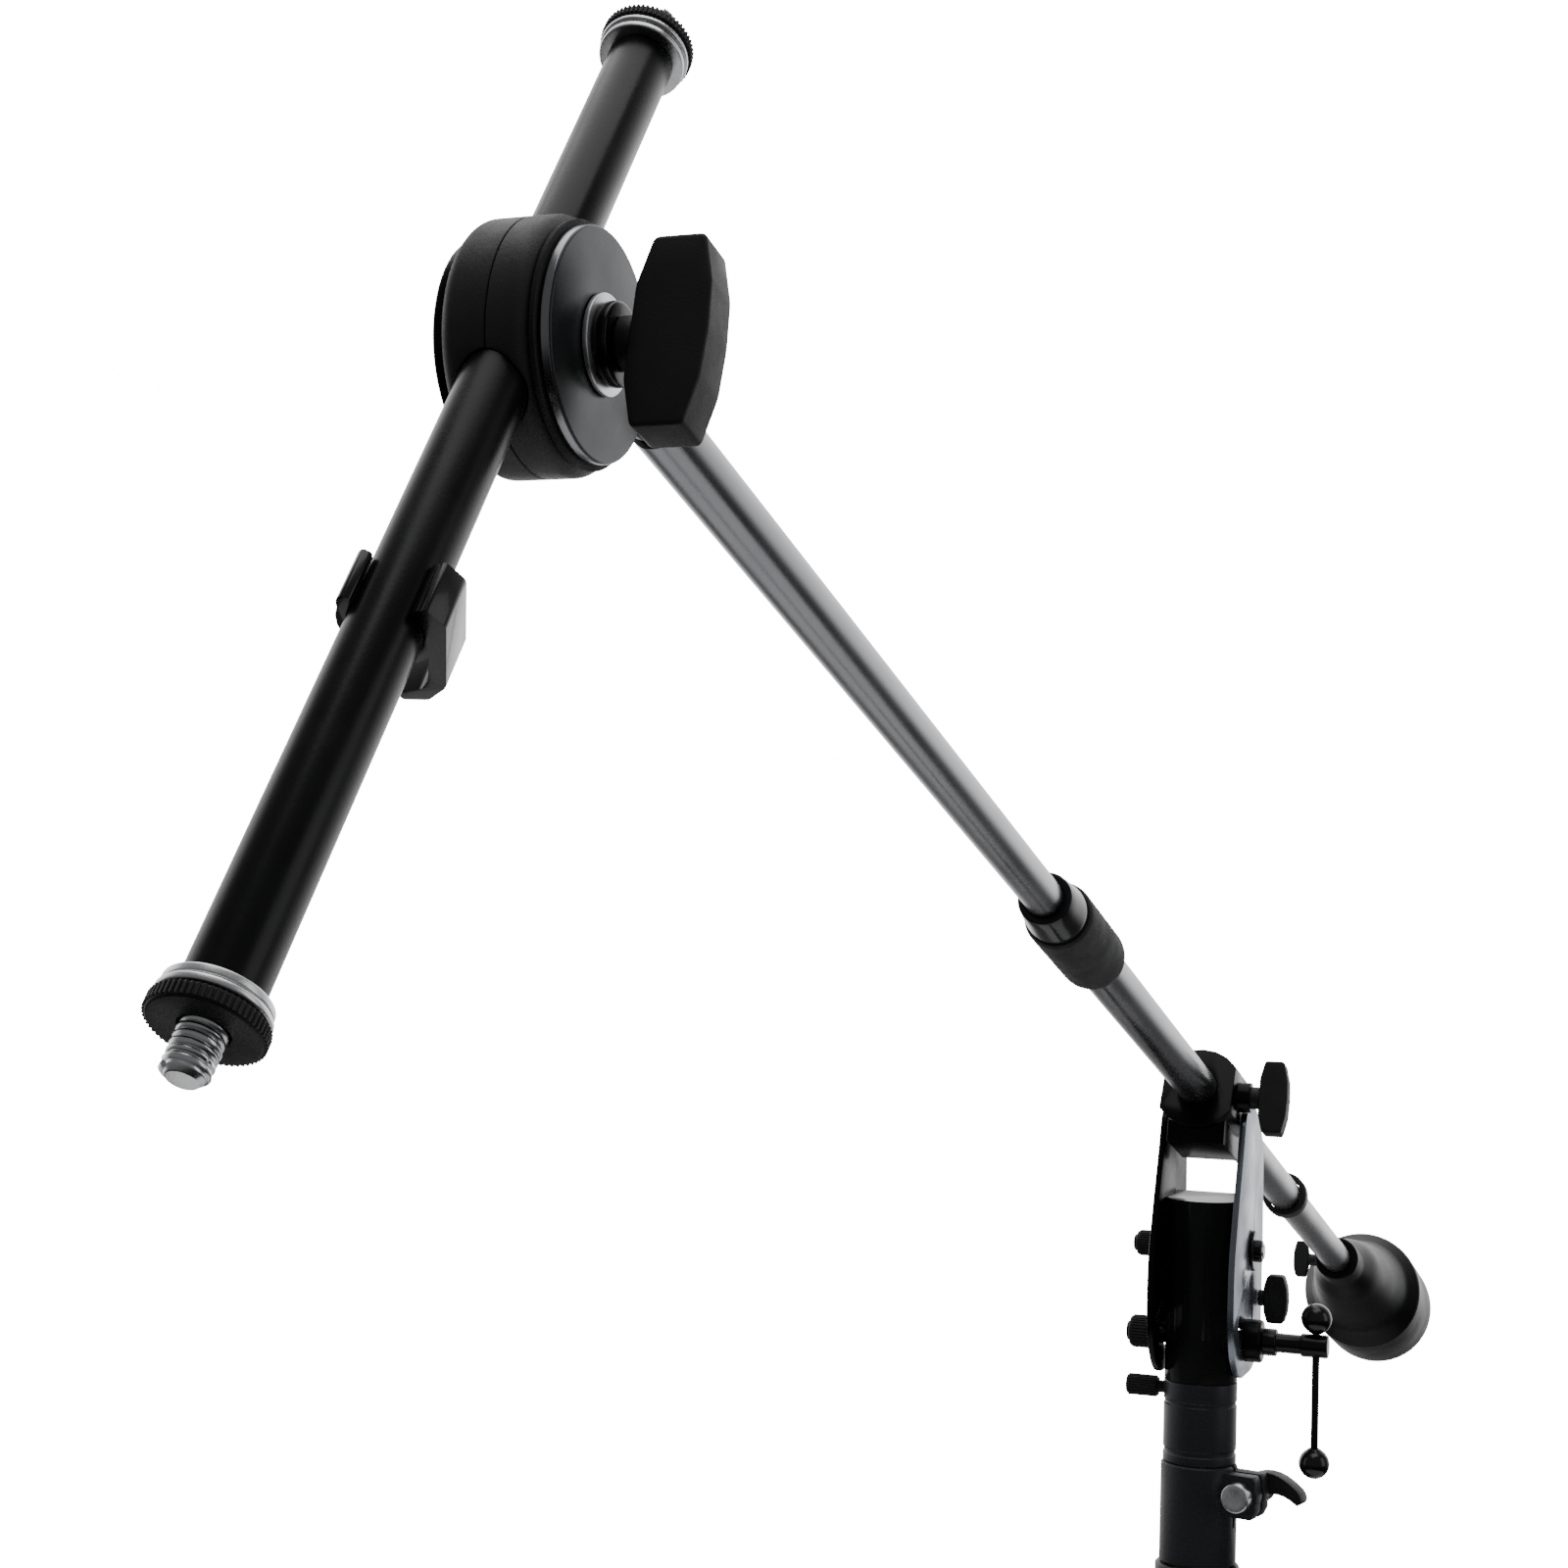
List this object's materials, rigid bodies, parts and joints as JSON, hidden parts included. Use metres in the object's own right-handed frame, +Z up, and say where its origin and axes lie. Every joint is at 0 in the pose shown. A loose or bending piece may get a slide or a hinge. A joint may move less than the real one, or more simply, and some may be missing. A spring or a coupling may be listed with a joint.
{
  "type": "boom microphone stand",
  "caption": "Boom microphone stand on a three-legged base, with a telescopic chrome boom, counterweight and a swivelling crossbar with a threaded stud at each end.",
  "frame": {"origin": "middle of the flat underside of the base hub, on the mast axis", "axes": "+Z up the mast; the boom lies in the X-Z plane, its crossbar end towards -X and its counterweight towards +X"},
  "size_m": [1.619, 0.7804, 1.4287],
  "materials": {
    "cast_black": "painted",
    "black_paint": "painted",
    "mast_finish": "painted",
    "moulded_black": "matte",
    "rubber": "matte",
    "chrome": "polished",
    "zinc": "satin",
    "grey_disc": "satin"
  },
  "bodies": {
    "root": {"base_hub": "cast_black", "leg_1": "black_paint", "leg_2": "black_paint", "leg_3": "black_paint", "foot_1": "rubber", "foot_2": "rubber", "foot_3": "rubber", "mast_outer_tube": "mast_finish", "outer_clamp_collar": "cast_black", "outer_clamp_screw": "zinc"},
    "outer_lever": {"outer_clamp_lever": "moulded_black"},
    "middle_mast": {"mast_middle_tube": "mast_finish", "middle_clamp_collar": "cast_black", "middle_clamp_screw": "zinc"},
    "middle_lever": {"middle_clamp_lever": "moulded_black"},
    "inner_mast": {"mast_inner_tube": "mast_finish", "swivel_collar": "mast_finish"},
    "swivel_screw": {"swivel_thumbscrew": "moulded_black"},
    "head": {"head_casting": "cast_black", "pivot_bolt": "black_paint"},
    "pivot_nut": {"pivot_thumb_nut": "moulded_black"},
    "tilt_bracket": {"side_plate_right": "zinc", "side_plate_left": "cast_black", "boom_clamp": "cast_black"},
    "plate_screw": {"plate_wing_screw": "moulded_black"},
    "lock_screw": {"clamp_screw": "black_paint", "clamp_boss": "cast_black"},
    "lock_nut": {"clamp_round_nut": "moulded_black"},
    "t_bar": {"t_bar_rod": "black_paint", "t_bar_upper_ball": "moulded_black", "t_bar_lower_ball": "moulded_black"},
    "boom_knob": {"boom_clamp_knob": "moulded_black"},
    "boom": {"boom_outer_tube": "chrome", "boom_stop_collar": "moulded_black", "boom_tail_cap": "rubber", "grip_jaw_bush": "moulded_black"},
    "grip": {"twist_grip": "rubber", "grip_mouth_ring": "black_paint"},
    "weight": {"counterweight": "cast_black"},
    "weight_screw": {"counterweight_screw": "moulded_black"},
    "inner_boom": {"boom_inner_tube": "chrome", "stem_disc": "grey_disc"},
    "knuckle": {"friction_ring": "moulded_black", "knuckle_shell_right": "moulded_black", "knuckle_shell_left": "moulded_black", "knuckle_cap": "cast_black", "knuckle_bolt": "zinc"},
    "knuckle_knob": {"knuckle_wing_knob": "moulded_black", "knuckle_nut": "black_paint", "knuckle_washer": "zinc"},
    "crossbar": {"crossbar_tube": "black_paint", "end_stud_near": "zinc", "end_ring_near": "zinc", "end_stud_far": "zinc", "end_ring_far": "zinc"},
    "disc_near": {"lock_disc_near": "moulded_black"},
    "disc_far": {"lock_disc_far": "moulded_black"},
    "clip": {"cable_clip": "moulded_black"}
  },
  "joints": [
    {"name": "middle_mast_slide", "type": "slide", "parent": "root", "child": "middle_mast", "axis": [0, 0, 1], "range_m": [0, 0.45]},
    {"name": "outer_lever_turn", "type": "hinge", "parent": "root", "child": "outer_lever", "pos_m": [-0.00568, -0.0267, 0.8594], "axis": [0.9781, -0.2079, 0], "range_deg": [-60, 0]},
    {"name": "inner_mast_slide", "type": "slide", "parent": "middle_mast", "child": "inner_mast", "axis": [0, 0, 1], "range_m": [0, 0.45]},
    {"name": "middle_lever_turn", "type": "hinge", "parent": "middle_mast", "child": "middle_lever", "pos_m": [-0.00528, -0.02484, 0.9087], "axis": [0.9781, -0.2079, 0], "range_deg": [-60, 0]},
    {"name": "head_swivel", "type": "hinge", "parent": "inner_mast", "child": "head", "pos_m": [0, 0, 0.961], "axis": [0, 0, 1], "continuous": true},
    {"name": "swivel_screw_turn", "type": "hinge", "parent": "inner_mast", "child": "swivel_screw", "pos_m": [0, 0.03, 0.9555], "axis": [0, 1, 0], "continuous": true},
    {"name": "boom_tilt", "type": "hinge", "parent": "head", "child": "tilt_bracket", "pos_m": [0.017, 0, 1.024], "axis": [0, 1, 0], "range_deg": [-18, 18]},
    {"name": "pivot_nut_turn", "type": "hinge", "parent": "head", "child": "pivot_nut", "pos_m": [0.017, 0.03, 1.024], "axis": [0, 1, 0], "continuous": true},
    {"name": "lock_screw_turn", "type": "hinge", "parent": "head", "child": "lock_screw", "pos_m": [0, -0.03, 0.982], "axis": [0, 1, 0], "continuous": true},
    {"name": "lock_nut_turn", "type": "hinge", "parent": "head", "child": "lock_nut", "pos_m": [0, 0.03, 0.982], "axis": [0, 1, 0], "continuous": true},
    {"name": "t_bar_slide", "type": "slide", "parent": "lock_screw", "child": "t_bar", "axis": [0, 0, 1], "range_m": [0, 0.04]},
    {"name": "plate_screw_turn", "type": "hinge", "parent": "tilt_bracket", "child": "plate_screw", "pos_m": [0.038, -0.03, 0.998], "axis": [0, 1, 0], "continuous": true},
    {"name": "boom_knob_turn", "type": "hinge", "parent": "tilt_bracket", "child": "boom_knob", "pos_m": [-0.00579, -0.03, 1.10159], "axis": [0, 1, 0], "continuous": true},
    {"name": "boom_slide", "type": "slide", "parent": "tilt_bracket", "child": "boom", "axis": [0.9641, 0, -0.2656], "range_m": [-0.2, 0.18]},
    {"name": "grip_twist", "type": "hinge", "parent": "boom", "child": "grip", "pos_m": [-0.28923, 0, 1.17967], "axis": [0.9641, 0, -0.2656], "range_deg": [-90, 90]},
    {"name": "weight_slide", "type": "slide", "parent": "boom", "child": "weight", "axis": [0.9641, 0, -0.2656], "range_m": [-0.2, 0]},
    {"name": "weight_screw_turn", "type": "hinge", "parent": "weight", "child": "weight_screw", "pos_m": [0.50133, 0.02, 0.96191], "axis": [0, 1, 0], "continuous": true},
    {"name": "inner_boom_slide", "type": "slide", "parent": "boom", "child": "inner_boom", "axis": [0.9641, 0, -0.2656], "range_m": [-0.2, 0.3]},
    {"name": "knuckle_turn", "type": "hinge", "parent": "inner_boom", "child": "knuckle", "pos_m": [-0.74428, 0, 1.30501], "axis": [0, 1, 0], "range_deg": [-90, 45]},
    {"name": "knuckle_knob_turn", "type": "hinge", "parent": "knuckle", "child": "knuckle_knob", "pos_m": [-0.74428, -0.015, 1.30501], "axis": [0, 1, 0], "continuous": true},
    {"name": "crossbar_slide", "type": "slide", "parent": "knuckle", "child": "crossbar", "axis": [0.5892, 0, 0.808], "range_m": [-0.05, 0.05]},
    {"name": "near_disc_turn", "type": "hinge", "parent": "crossbar", "child": "disc_near", "pos_m": [-0.86563, 0.0127, 1.15711], "axis": [0.5892, 0, 0.808], "continuous": true},
    {"name": "far_disc_turn", "type": "hinge", "parent": "crossbar", "child": "disc_far", "pos_m": [-0.69476, 0.0127, 1.39142], "axis": [0.5892, 0, 0.808], "continuous": true},
    {"name": "clip_slide", "type": "slide", "parent": "crossbar", "child": "clip", "axis": [0.5892, 0, 0.808], "range_m": [-0.06, 0]}
  ]
}
